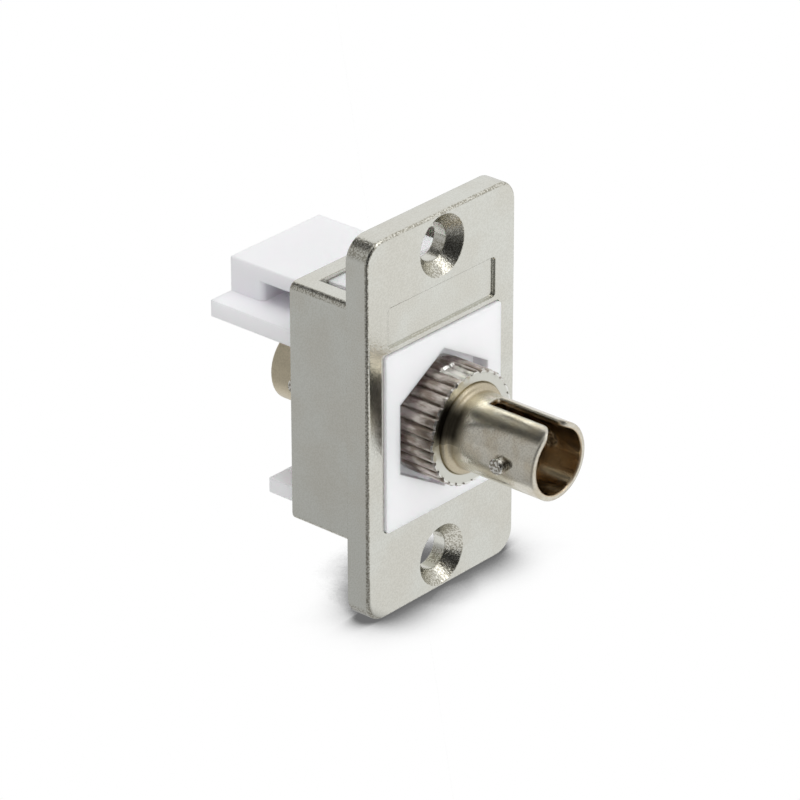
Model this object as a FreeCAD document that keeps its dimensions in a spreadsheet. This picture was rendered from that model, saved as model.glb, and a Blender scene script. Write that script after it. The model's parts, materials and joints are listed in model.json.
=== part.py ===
import FreeCAD, Part
import os
import Sketcher

# The part is a bulkhead coupler for two bayonet fibre plugs, held by a snap-in plastic insert in a
# cast panel frame. +Z is up, -Y is the front, and the origin is midway between the two screw holes
# on the plane where the frame's plate meets the panel. All sizes are in millimetres.

# Driving sizes
SIZES = {
    # Sleeve and its holder, from the ferrule outwards
    "sleeve_bore_dia": 2.49,
    "sleeve_wall": 0.355,
    "sleeve_length": 11.4,
    "sleeve_slot": 0.5,
    "sleeve_gap": 0.05,
    "ferrule_play": 0.2,
    "holder_wall": 0.7,
    "holder_rim": 0.85,
    "holder_flange_thick": 0.8,
    "holder_gap": 0.05,
    "holder_lip": 0.85,
    "lead_in": 0.35,
    # Barrels of the coupler
    "plug_room": 0.6,
    "port_wall": 0.5,
    "port_depth": 10.7,
    "front_reach": 9.09,
    "rear_reach": 11.43,
    "rim_chamfer": 0.12,
    "keyway_width": 1.5,
    "keyway_length": 7.05,
    "keyway_flare": 1.1,
    "keyway_end_round": 0.25,
    "pin_dia": 1.4,
    "pin_inset": 3.35,
    "pin_proud": 0.8,
    "pin_chamfer": 0.12,
    # Neck, flange, nut and lock washer
    "neck_step": 0.55,
    "neck_proud": 0.37,
    "neck_chamfer": 0.15,
    "neck_root_chamfer": 0.2,
    "neck_gap": 0.1,
    "flange_band": 1.0,
    "flange_thick": 1.3,
    "thread_gap": 0.04,
    "nut_wall": 1.11,
    "nut_height": 4.1,
    "nut_chamfer": 0.12,
    "knurl_count": 30,
    "knurl_depth": 0.26,
    "knurl_land": 0.45,
    "washer_band": 1.1,
    "washer_thick": 0.5,
    "washer_tooth_count": 12,
    "washer_tooth_length": 0.5,
    # Plastic insert
    "nut_room": 0.45,
    "recess_depth": 1.6,
    "face_side": 1.725,
    "face_end": 2.6,
    "face_proud": 0.26,
    "face_corner": 0.3,
    "back_wall": 1.3,
    "shoulder": 0.775,
    "top_step": 0.33,
    "bottom_step": 0.14,
    "slab_thick": 1.5,
    "upper_slab_reach": 16.4,
    "lower_slab_reach": 10.0,
    "slab_root_round": 0.4,
    "arm_gap": 1.89,
    "arm_thick": 1.37,
    "arm_inset": 2.525,
    "arm_tip": 0.8,
    "arm_round": 0.15,
    "riser_depth": 3.6,
    "riser_round": 0.5,
    "nose_overhang": 0.45,
    "nose_height": 1.38,
    "nose_land": 2.0,
    "nose_back": 4.9,
    "hook_width": 9.0,
    "hook_depth": 1.2,
    "hook_height": 0.75,
    # Collar of the frame
    "fit_gap": 0.08,
    "latch_gap": 0.1,
    "collar_depth": 6.65,
    "side_wall": 0.85,
    "floor_wall": 0.92,
    "roof_wall": 1.5,
    "collar_round": 0.75,
    "collar_rim_chamfer": 0.12,
    "cavity_corner": 0.3,
    "arm_room": 0.25,
    "window_start": 0.5,
    "window_room": 0.4,
    "window_side_room": 1.08,
    "hook_slot_start": 0.6,
    # Front plate of the frame
    "port_drop": 1.3,
    "plate_rim": 0.42,
    "plate_thick": 2.35,
    "plate_corner": 2.1,
    "plate_edge_round": 0.38,
    "plate_back_chamfer": 0.08,
    "screw_gap": 2.92,
    "screw_edge": 3.1,
    "screw_hole_dia": 3.4,
    "screw_head_dia": 5.6,
    "label_inset": 0.6,
    "label_height": 3.7,
    "label_depth": 0.25,
    "label_lift": 0.45,
    "label_corner": 0.35,
}

# Radii around the port's axis
SLEEVE_RADIUS = "(sizes.sleeve_bore_dia / 2 + sizes.sleeve_wall)"
SLEEVE_POCKET = f"({SLEEVE_RADIUS} + sizes.sleeve_gap)"
HOLDER_RADIUS = f"({SLEEVE_POCKET} + sizes.holder_wall)"
HOLDER_PASSAGE = f"({HOLDER_RADIUS} + sizes.holder_gap)"
SOCKET_RADIUS = f"({HOLDER_RADIUS} + sizes.holder_rim)"
BORE_RADIUS = f"({HOLDER_RADIUS} + sizes.plug_room)"
PORT_RADIUS = f"({BORE_RADIUS} + sizes.port_wall)"
NECK_RADIUS = f"({PORT_RADIUS} + sizes.neck_step)"
NUT_RADIUS = f"({NECK_RADIUS} + sizes.thread_gap + sizes.nut_wall)"
RECESS_HALF = f"({NUT_RADIUS} + sizes.nut_room)"

# Heights and edges that several pieces share, each measured from the port's axis
FACE_HALF = f"({RECESS_HALF} + sizes.face_side)"
FACE_TOP = f"({RECESS_HALF} + sizes.face_end)"
SLAB_HALF = f"({FACE_HALF} + sizes.shoulder)"
SLAB_TOP = f"({FACE_TOP} - sizes.top_step)"
SLAB_BOTTOM = f"(-{FACE_TOP} - sizes.bottom_step)"
ARM_BOTTOM = f"({SLAB_TOP} + sizes.arm_gap)"
ARM_TOP = f"({ARM_BOTTOM} + sizes.arm_thick)"
ARM_HALF = f"({SLAB_HALF} - sizes.arm_inset)"
NOSE_HALF = f"({ARM_HALF} + sizes.nose_overhang)"
CAVITY_HALF = f"({SLAB_HALF} + sizes.fit_gap)"
CAVITY_TOP = f"({ARM_TOP} + sizes.arm_room)"
CAVITY_BOTTOM = f"({SLAB_BOTTOM} - sizes.fit_gap)"
OPENING_HALF = f"({FACE_HALF} + sizes.fit_gap)"
OPENING_TOP = f"({FACE_TOP} + sizes.fit_gap)"

# Places along Y that several pieces share
FACE_FRONT = "(-sizes.plate_thick - sizes.face_proud)"
RECESS_FLOOR = f"({FACE_FRONT} + sizes.recess_depth)"
NUT_BACK = f"({RECESS_FLOOR} - sizes.washer_thick)"
NUT_FRONT = f"({NUT_BACK} - sizes.nut_height)"
NECK_FRONT = f"({NUT_FRONT} - sizes.neck_proud)"
FLANGE_BACK = "(sizes.back_wall + sizes.flange_thick)"
FRONT_RIM = f"({NECK_FRONT} - sizes.front_reach)"
BACK_RIM = f"({FLANGE_BACK} + sizes.rear_reach)"
MIDDLE = f"(({FRONT_RIM} + {BACK_RIM}) / 2)"
SOCKET_FLOOR = f"({MIDDLE} - sizes.holder_flange_thick)"
SPIGOT_FRONT = f"({MIDDLE} + sizes.holder_flange_thick)"
HOLDER_HALF = "(sizes.sleeve_length / 2 + sizes.sleeve_gap + sizes.holder_lip)"


def make_sheet(doc):
    """The spreadsheet that holds every driving size under its own name."""
    sheet = doc.addObject("Spreadsheet::Sheet", "sizes")
    for row, (name, size) in enumerate(SIZES.items(), start=1):
        sheet.set(f"A{row}", name)
        sheet.set(f"B{row}", str(size))
        sheet.setAlias(f"B{row}", name)
    doc.recompute()
    return sheet


def make_body(doc, name, drop="0"):
    """An empty body, lowered by the drop of the port's axis where it follows the port."""
    body = doc.addObject("PartDesign::Body", name)
    body.Label = name
    body.setExpression("Placement.Base.z", f"-({drop})")
    return body


def origin_part(body, role):
    """One of the body's own origin planes or axes."""
    return next(part for part in body.Origin.OriginFeatures if part.Role == role)


def make_sketch(body, name, plane, offset="0"):
    """A sketch on an origin plane, moved along the plane's normal by a formula."""
    sketch = body.newObject("Sketcher::SketchObject", name)
    sketch.AttachmentSupport = [(origin_part(body, plane), "")]
    sketch.MapMode = "FlatFace"
    sketch.setExpression("AttachmentOffset.Base.z", offset)
    return sketch


def read_point(sketch, across, up):
    """The point that two formulas give at present."""
    return FreeCAD.Vector(sketch.evalExpression(across), sketch.evalExpression(up), 0)


def place_point(sketch, geometry, corner, across, up, only=None):
    """Holds an end or a centre at a place given by two formulas, or along one way only."""
    for kind, formula in (("DistanceX", across), ("DistanceY", up)):
        if only and kind != only:
            continue
        size = float(sketch.evalExpression(formula))
        row = sketch.addConstraint(Sketcher.Constraint(kind, -1, 1, geometry, corner, size))
        sketch.setExpression(f"Constraints[{row}]", formula)


def add_arc(sketch, start, end, centre):
    """An arc of less than half a turn, with the numbers of its two ends in the order given."""
    towards = ((start + end) / 2 - centre).normalize()
    middle = centre + towards * start.distanceToPoint(centre)
    number = sketch.addGeometry(Part.Arc(start, middle, end))
    if sketch.getPoint(number, 1).distanceToPoint(start) < 1e-6:
        return number, 1, 2
    return number, 2, 1


def add_outline(sketch, corners, arcs=None):
    """A closed outline whose corners follow their formulas.

    Its sides are straight, apart from those in arcs, which gives a side's number the two
    formulas of its centre. A side has the number of the corner where it starts.
    """
    arcs = arcs or {}
    spots = [read_point(sketch, across, up) for across, up in corners]
    sides = []
    for number, start in enumerate(spots):
        end = spots[(number + 1) % len(spots)]
        if number in arcs:
            sides.append(add_arc(sketch, start, end, read_point(sketch, *arcs[number])))
        else:
            sides.append((sketch.addGeometry(Part.LineSegment(start, end)), 1, 2))
    for number, (across, up) in enumerate(corners):
        side, first, last = sides[number]
        following, joined, _ = sides[(number + 1) % len(sides)]
        sketch.addConstraint(Sketcher.Constraint("Coincident", side, last, following, joined))
        place_point(sketch, side, first, across, up)
    for number, (across, up) in arcs.items():
        place_point(sketch, sides[number][0], 3, across, up, only="DistanceX")
    return sketch


def add_rectangle(sketch, left, right, bottom, top):
    """A rectangle between four formulas."""
    return add_outline(sketch, [(left, bottom), (right, bottom), (right, top), (left, top)])


def add_circle(sketch, across, up, radius):
    """A circle whose centre and radius follow their formulas."""
    centre = read_point(sketch, across, up)
    size = float(sketch.evalExpression(radius))
    number = sketch.addGeometry(Part.Circle(centre, FreeCAD.Vector(0, 0, 1), size))
    place_point(sketch, number, 3, across, up)
    row = sketch.addConstraint(Sketcher.Constraint("Radius", number, size))
    sketch.setExpression(f"Constraints[{row}]", radius)
    return sketch


def add_hexagon(sketch, half):
    """A hexagon with corners at its top and bottom, whose flats lie half its width out."""
    corner = f"{half} * 2 / sqrt(3)"
    return add_outline(sketch, [
        ("0", corner),
        (f"-{half}", f"{corner} / 2"),
        (f"-{half}", f"-{corner} / 2"),
        ("0", f"-{corner}"),
        (half, f"-{corner} / 2"),
        (half, f"{corner} / 2"),
    ])


def prism(body, kind, name, sketch, length, backwards=False, both_ways=False):
    """A pad or pocket of a sketch, and a check that it changed the solid."""
    before = body.Shape.Volume if body.Tip else 0
    feature = body.newObject(f"PartDesign::{kind}", name)
    feature.Profile = (sketch, [""])
    feature.setExpression("Length", length)
    feature.Reversed = backwards
    if both_ways:
        feature.SideType = "Symmetric"
    FreeCAD.ActiveDocument.recompute()
    if abs(body.Shape.Volume - before) < 1e-6:
        raise RuntimeError(f"{name} leaves {body.Label} as it was")
    return feature


def turned(body, kind, name, sketch):
    """A revolution or groove of a sketch about the port's axis, with the same check."""
    before = body.Shape.Volume if body.Tip else 0
    feature = body.newObject(f"PartDesign::{kind}", name)
    feature.Profile = (sketch, [""])
    feature.ReferenceAxis = (origin_part(body, "Y_Axis"), [""])
    feature.Angle = 360
    FreeCAD.ActiveDocument.recompute()
    if abs(body.Shape.Volume - before) < 1e-6:
        raise RuntimeError(f"{name} leaves {body.Label} as it was")
    return feature


def around_axis(body, name, feature, count):
    """Copies of a feature, evenly spaced around the port's axis."""
    pattern = body.newObject("PartDesign::PolarPattern", name)
    pattern.Originals = [feature]
    pattern.Axis = (origin_part(body, "Y_Axis"), [""])
    pattern.Angle = 360
    pattern.setExpression("Occurrences", count)
    body.Tip = pattern
    FreeCAD.ActiveDocument.recompute()
    return pattern


def soften(body, kind, name, chosen, size):
    """A fillet or chamfer on the edges of the body's last feature that a test chooses."""
    last = body.Tip
    names = [
        f"Edge{number}"
        for number, edge in enumerate(last.Shape.Edges, start=1)
        if chosen(edge)
    ]
    if not names:
        raise RuntimeError(f"{name} found no edge on {body.Label}")
    feature = body.newObject(f"PartDesign::{kind}", name)
    feature.Base = (last, names)
    feature.setExpression("Radius" if kind == "Fillet" else "Size", size)
    FreeCAD.ActiveDocument.recompute()
    if "Invalid" in feature.State:
        raise RuntimeError(f"{name} can't be made on {body.Label}")
    return feature


def size_of(formula):
    """The present value of a formula of the sheet's sizes."""
    return float(FreeCAD.ActiveDocument.getObject("sizes").evalExpression(formula))


def near(value, other):
    return abs(value - other) < 1e-4


def runs_along(edge, axis):
    """Whether an edge is a straight line along X, Y or Z, given as 0, 1 or 2."""
    if not isinstance(edge.Curve, Part.Line):
        return False
    start, end = edge.Vertexes[0].Point, edge.Vertexes[-1].Point
    return all(near(start[other], end[other]) for other in range(3) if other != axis)


def lies_at(edge, axis, place):
    """Whether a whole edge lies at one place along X, Y or Z."""
    box = edge.BoundBox
    low = (box.XMin, box.YMin, box.ZMin)[axis]
    high = (box.XMax, box.YMax, box.ZMax)[axis]
    return near(low, place) and near(high, place)


def rounded_bar(edge, half_width, top, bottom):
    """Whether an edge is one of the four long corners, along Y, of a bar."""
    if not runs_along(edge, 1):
        return False
    spot = edge.Vertexes[0].Point
    return near(abs(spot.x), half_width) and (near(spot.z, top) or near(spot.z, bottom))


def outer_rim(body, place):
    """The outline of the body's largest flat face at a place along Y."""
    faces = [
        face for face in body.Tip.Shape.Faces
        if near(face.BoundBox.YMin, place) and near(face.BoundBox.YMax, place)
    ]
    return max(faces, key=lambda face: face.Area).OuterWire.Edges


def make_panel_frame(doc):
    """The die-cast frame: a plate with two screw holes, and an open-backed collar behind it."""
    body = make_body(doc, "panel_frame")
    drop = "sizes.port_drop"
    collar_half = f"({CAVITY_HALF} + sizes.side_wall)"
    collar_top = f"({CAVITY_TOP} + sizes.roof_wall - {drop})"
    collar_bottom = f"({CAVITY_BOTTOM} - sizes.floor_wall - {drop})"
    screw_height = f"({collar_top} + sizes.screw_gap)"

    plate = make_sketch(body, "plate_outline", "XZ_Plane")
    half_width = f"({collar_half} + sizes.plate_rim)"
    half_height = f"({screw_height} + sizes.screw_edge)"
    add_rectangle(plate, f"-{half_width}", half_width, f"-{half_height}", half_height)
    prism(body, "Pad", "plate", plate, "sizes.plate_thick")
    wide, high = size_of(half_width), size_of(half_height)
    soften(body, "Fillet", "plate_corners",
           lambda edge: rounded_bar(edge, wide, high, -high), "sizes.plate_corner")

    collar = make_sketch(body, "collar_outline", "XZ_Plane")
    add_rectangle(collar, f"-{collar_half}", collar_half, collar_bottom, collar_top)
    prism(body, "Pad", "collar", collar, "sizes.collar_depth", backwards=True)
    wide, high, low = size_of(collar_half), size_of(collar_top), size_of(collar_bottom)
    soften(body, "Fillet", "collar_corners",
           lambda edge: rounded_bar(edge, wide, high, low), "sizes.collar_round")

    cavity = make_sketch(body, "cavity_outline", "XZ_Plane", "-sizes.collar_depth")
    cavity_bottom, cavity_top = f"({CAVITY_BOTTOM} - {drop})", f"({CAVITY_TOP} - {drop})"
    add_rectangle(cavity, f"-{CAVITY_HALF}", CAVITY_HALF, cavity_bottom, cavity_top)
    prism(body, "Pocket", "cavity", cavity, "sizes.collar_depth", backwards=True)
    wide, high, low = size_of(CAVITY_HALF), size_of(cavity_top), size_of(cavity_bottom)
    soften(body, "Fillet", "cavity_corners",
           lambda edge: rounded_bar(edge, wide, high, low), "sizes.cavity_corner")

    opening = make_sketch(body, "opening_outline", "XZ_Plane")
    opening_bottom, opening_top = f"(-{OPENING_TOP} - {drop})", f"({OPENING_TOP} - {drop})"
    add_rectangle(opening, f"-{OPENING_HALF}", OPENING_HALF, opening_bottom, opening_top)
    prism(body, "Pocket", "opening", opening, "sizes.plate_thick", backwards=True)
    wide, high, low = size_of(OPENING_HALF), size_of(opening_top), size_of(opening_bottom)
    soften(body, "Fillet", "opening_corners",
           lambda edge: rounded_bar(edge, wide, high, low), "sizes.face_corner + sizes.fit_gap")

    window = make_sketch(body, "window_outline", "XY_Plane", cavity_top)
    window_half = f"({NOSE_HALF} + sizes.window_side_room)"
    add_rectangle(window, f"-{window_half}", window_half,
                  "sizes.window_start", "sizes.nose_back + sizes.latch_gap")
    prism(body, "Pocket", "window", window, "sizes.roof_wall", backwards=True)

    hook_slot = make_sketch(body, "hook_slot_outline", "XY_Plane", cavity_bottom)
    add_rectangle(hook_slot, "-sizes.hook_width / 2 - sizes.latch_gap",
                  "sizes.hook_width / 2 + sizes.latch_gap", "sizes.hook_slot_start",
                  "sizes.hook_slot_start + sizes.hook_depth + 2 * sizes.latch_gap")
    prism(body, "Pocket", "hook_slot", hook_slot, "sizes.floor_wall")

    holes = make_sketch(body, "screw_hole_outline", "XZ_Plane", "sizes.plate_thick")
    for side in ("", "-"):
        add_circle(holes, "0", f"{side}{screw_height}", "sizes.screw_hole_dia / 2")
    prism(body, "Pocket", "screw_holes", holes, "sizes.plate_thick")
    front = -size_of("sizes.plate_thick")
    hole_radius = size_of("sizes.screw_hole_dia / 2")
    soften(body, "Chamfer", "countersinks",
           lambda edge: lies_at(edge, 1, front) and isinstance(edge.Curve, Part.Circle)
           and near(edge.Curve.Radius, hole_radius),
           "(sizes.screw_head_dia - sizes.screw_hole_dia) / 2")

    label = make_sketch(body, "label_outline", "XZ_Plane", "sizes.plate_thick")
    label_bottom = f"({OPENING_TOP} + sizes.label_lift - {drop})"
    label_top = f"({label_bottom} + sizes.label_height)"
    label_half = f"({OPENING_HALF} - sizes.label_inset)"
    add_rectangle(label, f"-{label_half}", label_half, label_bottom, label_top)
    prism(body, "Pocket", "label_recess", label, "sizes.label_depth")
    wide, high, low = size_of(label_half), size_of(label_top), size_of(label_bottom)
    soften(body, "Fillet", "label_corners",
           lambda edge: rounded_bar(edge, wide, high, low), "sizes.label_corner")

    rim = outer_rim(body, front)
    soften(body, "Fillet", "plate_front_edge",
           lambda edge: any(edge.isSame(other) for other in rim), "sizes.plate_edge_round")
    rim = outer_rim(body, 0)
    soften(body, "Chamfer", "plate_back_edge",
           lambda edge: any(edge.isSame(other) for other in rim), "sizes.plate_back_chamfer")
    rim = outer_rim(body, size_of("sizes.collar_depth"))
    soften(body, "Chamfer", "collar_back_edge",
           lambda edge: any(edge.isSame(other) for other in rim), "sizes.collar_rim_chamfer")
    return body


def add_latch_arm(body):
    """The arm that bends over the upper slab, and the wider nose that snaps into the window."""
    arm_start = "(sizes.window_start + sizes.window_room)"
    riser_start = "(sizes.upper_slab_reach - sizes.riser_depth)"
    arm = make_sketch(body, "latch_arm_outline", "YZ_Plane")
    add_outline(arm, [
        (arm_start, ARM_BOTTOM),
        (riser_start, ARM_BOTTOM),
        (riser_start, SLAB_TOP),
        ("sizes.upper_slab_reach", SLAB_TOP),
        ("sizes.upper_slab_reach", ARM_TOP),
        (arm_start, ARM_TOP),
    ])
    prism(body, "Pad", "latch_arm", arm, f"2 * {ARM_HALF}", both_ways=True)

    wide, top = size_of(ARM_HALF), size_of(ARM_TOP)
    front, riser = size_of(arm_start), size_of(riser_start)
    soften(body, "Fillet", "riser_corners",
           lambda edge: runs_along(edge, 2) and lies_at(edge, 1, riser)
           and near(abs(edge.Vertexes[0].Point.x), wide), "sizes.riser_round")
    soften(body, "Fillet", "latch_arm_edges",
           lambda edge: lies_at(edge, 2, top) and not lies_at(edge, 1, front), "sizes.arm_round")

    nose_top = f"({ARM_TOP} + sizes.nose_height)"
    nose = make_sketch(body, "nose_outline", "YZ_Plane")
    add_outline(nose, [
        (arm_start, ARM_BOTTOM),
        ("sizes.nose_back", ARM_BOTTOM),
        ("sizes.nose_back", nose_top),
        ("sizes.nose_back - sizes.nose_land", nose_top),
        (arm_start, f"{ARM_BOTTOM} + sizes.arm_tip"),
    ])
    prism(body, "Pad", "latch_nose", nose, f"2 * {NOSE_HALF}", both_ways=True)


def add_hook(body):
    """The fixed hook under the lower slab, which tips into the slot in the collar's floor."""
    hook_front = "(sizes.hook_slot_start + sizes.latch_gap)"
    hook_bottom = f"({SLAB_BOTTOM} - sizes.hook_height)"
    hook = make_sketch(body, "hook_outline", "YZ_Plane")
    add_outline(hook, [
        (hook_front, SLAB_BOTTOM),
        (hook_front, hook_bottom),
        (f"{hook_front} + sizes.hook_depth / 2", hook_bottom),
        (f"{hook_front} + sizes.hook_depth", SLAB_BOTTOM),
    ])
    prism(body, "Pad", "hook", hook, "sizes.hook_width", both_ways=True)


def make_keystone_insert(doc):
    """The plastic insert: a face block, a wider back wall, two slabs, a latch arm and a hook."""
    body = make_body(doc, "keystone_insert", "sizes.port_drop")

    face = make_sketch(body, "face_outline", "XZ_Plane", f"-{FACE_FRONT}")
    add_rectangle(face, f"-{FACE_HALF}", FACE_HALF, f"-{FACE_TOP}", FACE_TOP)
    prism(body, "Pad", "face_block", face, f"-{FACE_FRONT} + sizes.back_wall", backwards=True)
    wide, high = size_of(FACE_HALF), size_of(FACE_TOP)
    soften(body, "Fillet", "face_corners",
           lambda edge: rounded_bar(edge, wide, high, -high), "sizes.face_corner")

    back = make_sketch(body, "back_wall_outline", "XZ_Plane")
    add_rectangle(back, f"-{SLAB_HALF}", SLAB_HALF, SLAB_BOTTOM, SLAB_TOP)
    prism(body, "Pad", "back_wall", back, "sizes.back_wall", backwards=True)

    upper = make_sketch(body, "upper_slab_outline", "YZ_Plane")
    upper_underside = f"({SLAB_TOP} - sizes.slab_thick)"
    add_rectangle(upper, "0", "sizes.upper_slab_reach", upper_underside, SLAB_TOP)
    prism(body, "Pad", "upper_slab", upper, f"2 * {SLAB_HALF}", both_ways=True)

    lower = make_sketch(body, "lower_slab_outline", "YZ_Plane")
    lower_topside = f"({SLAB_BOTTOM} + sizes.slab_thick)"
    add_rectangle(lower, "0", "sizes.lower_slab_reach", SLAB_BOTTOM, lower_topside)
    prism(body, "Pad", "lower_slab", lower, f"2 * {SLAB_HALF}", both_ways=True)

    wide, low = size_of(SLAB_HALF), size_of(SLAB_BOTTOM)
    soften(body, "Fillet", "lower_corners",
           lambda edge: rounded_bar(edge, wide, low, low), "sizes.cavity_corner")

    inner = (size_of(upper_underside), size_of(lower_topside))
    root = size_of("sizes.back_wall")
    soften(body, "Fillet", "slab_roots",
           lambda edge: runs_along(edge, 0) and lies_at(edge, 1, root)
           and any(lies_at(edge, 2, height) for height in inner), "sizes.slab_root_round")

    add_latch_arm(body)
    add_hook(body)

    recess = make_sketch(body, "recess_outline", "XZ_Plane", f"-{FACE_FRONT}")
    add_hexagon(recess, RECESS_HALF)
    prism(body, "Pocket", "hex_recess", recess, "sizes.recess_depth")

    neck_hole = make_sketch(body, "neck_hole_outline", "XZ_Plane", f"-{RECESS_FLOOR}")
    add_circle(neck_hole, "0", "0", f"{NECK_RADIUS} + sizes.neck_gap")
    prism(body, "Pocket", "neck_hole", neck_hole, f"sizes.back_wall - {RECESS_FLOOR}")
    return body


def cut_keyway(body, rim, inward):
    """The key slot in the top of a barrel, rounded at its end and flared at the rim."""
    half = "sizes.keyway_width / 2"
    flared = f"({half} + sizes.keyway_flare)"
    end = f"({rim} {inward} sizes.keyway_length)"
    bend = f"({rim} {inward} sizes.keyway_flare)"
    slot = make_sketch(body, "keyway_outline", "XY_Plane")
    add_outline(slot, [
        (half, end),
        (half, bend),
        (flared, rim),
        (f"-{flared}", rim),
        (f"-{half}", bend),
        (f"-{half}", end),
    ], arcs={1: (flared, bend), 3: (f"-{flared}", bend)})
    prism(body, "Pocket", "keyway", slot, f"2 * {PORT_RADIUS}", backwards=True)
    place = size_of(end)
    wide = size_of(half)
    soften(body, "Fillet", "keyway_end",
           lambda edge: runs_along(edge, 2) and near(edge.Vertexes[0].Point.y, place)
           and near(abs(edge.Vertexes[0].Point.x), wide), "sizes.keyway_end_round")


def drill_pin_holes(body, rim, inward):
    """The two holes through a barrel's sides that the bayonet pins are pressed into."""
    holes = make_sketch(body, "pin_hole_outline", "YZ_Plane")
    add_circle(holes, f"{rim} {inward} sizes.pin_inset", "0", "sizes.pin_dia / 2")
    prism(body, "Pocket", "pin_holes", holes, f"4 * {PORT_RADIUS}", both_ways=True)


def make_coupler_body(doc):
    """The turned front half: barrel, threaded neck and hexagonal flange in one piece."""
    body = make_body(doc, "coupler_body", "sizes.port_drop")
    outside = make_sketch(body, "turned_outline", "YZ_Plane")
    add_outline(outside, [
        (FRONT_RIM, "0"),
        (FRONT_RIM, f"{PORT_RADIUS} - sizes.rim_chamfer"),
        (f"{FRONT_RIM} + sizes.rim_chamfer", PORT_RADIUS),
        (f"{NECK_FRONT} - sizes.neck_root_chamfer", PORT_RADIUS),
        (NECK_FRONT, f"{PORT_RADIUS} + sizes.neck_root_chamfer"),
        (NECK_FRONT, f"{NECK_RADIUS} - sizes.neck_chamfer"),
        (f"{NECK_FRONT} + sizes.neck_chamfer", NECK_RADIUS),
        ("sizes.back_wall", NECK_RADIUS),
        ("sizes.back_wall", "0"),
    ])
    turned(body, "Revolution", "turned_blank", outside)

    flange = make_sketch(body, "flange_outline", "XZ_Plane", "-sizes.back_wall")
    add_hexagon(flange, f"({NECK_RADIUS} + sizes.flange_band)")
    prism(body, "Pad", "hex_flange", flange, "sizes.flange_thick", backwards=True)

    bores = make_sketch(body, "bore_outline", "YZ_Plane")
    add_outline(bores, [
        (FRONT_RIM, "0"),
        (FRONT_RIM, BORE_RADIUS),
        (f"{FRONT_RIM} + sizes.port_depth", BORE_RADIUS),
        (f"{FRONT_RIM} + sizes.port_depth", HOLDER_PASSAGE),
        (SOCKET_FLOOR, HOLDER_PASSAGE),
        (SOCKET_FLOOR, SOCKET_RADIUS),
        (FLANGE_BACK, SOCKET_RADIUS),
        (FLANGE_BACK, "0"),
    ])
    turned(body, "Groove", "bores", bores)
    cut_keyway(body, FRONT_RIM, "+")
    drill_pin_holes(body, FRONT_RIM, "+")
    return body


def make_rear_barrel(doc):
    """The turned rear half, whose spigot is pressed into the front half's socket."""
    body = make_body(doc, "rear_barrel", "sizes.port_drop")
    profile = make_sketch(body, "turned_outline", "YZ_Plane")
    add_outline(profile, [
        (SPIGOT_FRONT, HOLDER_PASSAGE),
        (SPIGOT_FRONT, SOCKET_RADIUS),
        (FLANGE_BACK, SOCKET_RADIUS),
        (FLANGE_BACK, PORT_RADIUS),
        (f"{BACK_RIM} - sizes.rim_chamfer", PORT_RADIUS),
        (BACK_RIM, f"{PORT_RADIUS} - sizes.rim_chamfer"),
        (BACK_RIM, BORE_RADIUS),
        (f"{BACK_RIM} - sizes.port_depth", BORE_RADIUS),
        (f"{BACK_RIM} - sizes.port_depth", HOLDER_PASSAGE),
    ])
    turned(body, "Revolution", "turned_barrel", profile)
    cut_keyway(body, BACK_RIM, "-")
    drill_pin_holes(body, BACK_RIM, "-")
    return body


def make_bayonet_pin(doc, name, rim, inward, side):
    """One bayonet pin, pressed in from the barrel's side and flush with the bore."""
    body = make_body(doc, name, "sizes.port_drop")
    round_end = make_sketch(body, "pin_outline", "YZ_Plane", f"{side}{BORE_RADIUS}")
    add_circle(round_end, f"{rim} {inward} sizes.pin_inset", "0", "sizes.pin_dia / 2")
    length = "sizes.port_wall + sizes.pin_proud"
    prism(body, "Pad", "pin", round_end, length, backwards=side == "-")
    tip = size_of(f"{side}({PORT_RADIUS} + sizes.pin_proud)")
    soften(body, "Chamfer", "pin_tip", lambda edge: lies_at(edge, 0, tip), "sizes.pin_chamfer")
    return body


def make_sleeve_holder(doc, name, side):
    """One half of the sleeve's holder: a flanged tube with a lip that keeps the sleeve in."""
    body = make_body(doc, name, "sizes.port_drop")
    tip = f"({MIDDLE} {side} {HOLDER_HALF})"
    inward = "+" if side == "-" else "-"
    flange = f"({MIDDLE} {side} sizes.holder_flange_thick)"
    hole = "(sizes.sleeve_bore_dia / 2 + sizes.ferrule_play)"
    rim = f"({SOCKET_RADIUS} - sizes.holder_gap)"
    profile = make_sketch(body, "turned_outline", "YZ_Plane")
    add_outline(profile, [
        (MIDDLE, SLEEVE_POCKET),
        (f"{tip} {inward} sizes.holder_lip", SLEEVE_POCKET),
        (f"{tip} {inward} sizes.holder_lip", hole),
        (f"{tip} {inward} sizes.lead_in", hole),
        (tip, f"{hole} + sizes.lead_in"),
        (tip, HOLDER_RADIUS),
        (flange, HOLDER_RADIUS),
        (flange, rim),
        (MIDDLE, rim),
    ])
    turned(body, "Revolution", "turned_holder", profile)
    return body


def make_split_sleeve(doc):
    """The ceramic alignment sleeve, a thin tube with one slot along it."""
    body = make_body(doc, "split_sleeve", "sizes.port_drop")
    half = "sizes.sleeve_length / 2"
    profile = make_sketch(body, "tube_outline", "YZ_Plane")
    add_rectangle(profile, f"{MIDDLE} - {half}", f"{MIDDLE} + {half}",
                  "sizes.sleeve_bore_dia / 2", SLEEVE_RADIUS)
    turned(body, "Revolution", "tube", profile)
    slot = make_sketch(body, "slot_outline", "XY_Plane")
    add_rectangle(slot, "-sizes.sleeve_slot / 2", "sizes.sleeve_slot / 2",
                  f"{MIDDLE} - {half}", f"{MIDDLE} + {half}")
    prism(body, "Pocket", "slot", slot, f"2 * {SLEEVE_RADIUS}", backwards=True)
    return body


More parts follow.
